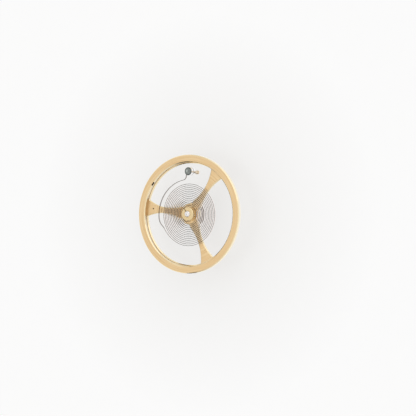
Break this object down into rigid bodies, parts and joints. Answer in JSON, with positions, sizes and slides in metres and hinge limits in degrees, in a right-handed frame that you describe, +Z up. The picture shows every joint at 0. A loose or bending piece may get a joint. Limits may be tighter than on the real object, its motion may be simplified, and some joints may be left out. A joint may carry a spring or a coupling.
{
  "type": "balance wheel",
  "caption": "Smooth three-arm watch balance wheel on its staff, with double roller, jewel, collet, flat hairspring and stud; it swings about the staff.",
  "frame": {"origin": "tip of the lower pivot, on the axis of the staff", "axes": "+Z up the staff towards the hairspring and the upper pivot; +X and +Y are right and up in the picture"},
  "size_m": [0.01, 0.01, 0.0032],
  "materials": {
    "gilt_alloy": "gilt, fine circular brushing on the rim, polished chamfers",
    "polished_steel": "hardened and polished",
    "ruby": "polished synthetic ruby",
    "collet_brass": "turned, polished edges",
    "pin_brass": "drawn and filed",
    "spring_alloy": "rolled strip, bright grey",
    "stud_steel": "turned, grey"
  },
  "bodies": {
    "stud_side": {"hairspring_stud": "stud_steel", "stud_pin": "pin_brass", "hairspring": "spring_alloy"},
    "balance": {"balance_wheel": "gilt_alloy", "balance_staff": "polished_steel", "impulse_roller": "polished_steel", "safety_roller": "polished_steel", "impulse_jewel": "ruby", "collet": "collet_brass", "collet_pin": "pin_brass"}
  },
  "joints": [
    {"name": "balance_swing", "type": "hinge", "parent": "stud_side", "child": "balance", "pos_m": [0, 0, 0], "axis": [0, 0, 1], "range_deg": [-300, 300], "stiffness_Nm_per_rad": 0.000000422, "deforming": ["hairspring"]}
  ]
}
